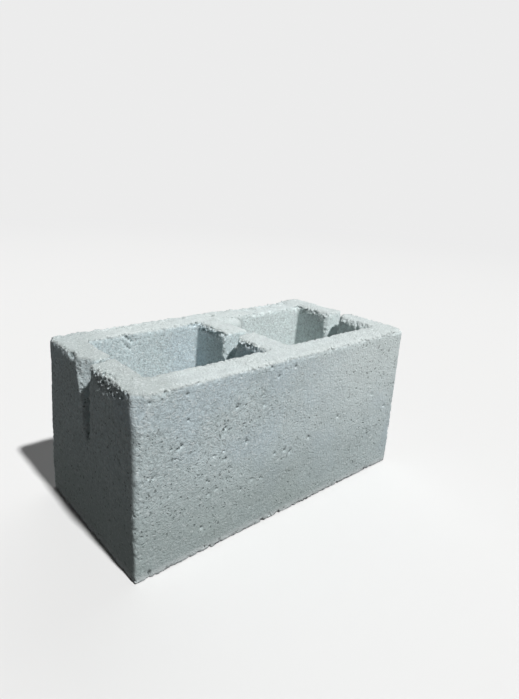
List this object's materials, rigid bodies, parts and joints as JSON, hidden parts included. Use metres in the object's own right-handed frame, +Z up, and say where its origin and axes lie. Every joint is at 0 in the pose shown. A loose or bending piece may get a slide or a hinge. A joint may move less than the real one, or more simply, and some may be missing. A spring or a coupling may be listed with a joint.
{
  "type": "hollow concrete block",
  "caption": "Long rectangular cast concrete walling block with open tapered cores between webs and a wedge slot across the web tops.",
  "frame": {"origin": "middle of the block's underside, where its bounding box meets the ground", "axes": "+X along the block's length, +Y across its width from the front wall to the back wall, +Z up through the open cores"},
  "size_m": [0.39, 0.19, 0.188],
  "materials": {
    "concrete": "rough sandy cast concrete, pale grey"
  },
  "bodies": {
    "root": {"concrete_block": "concrete"}
  },
  "joints": []
}
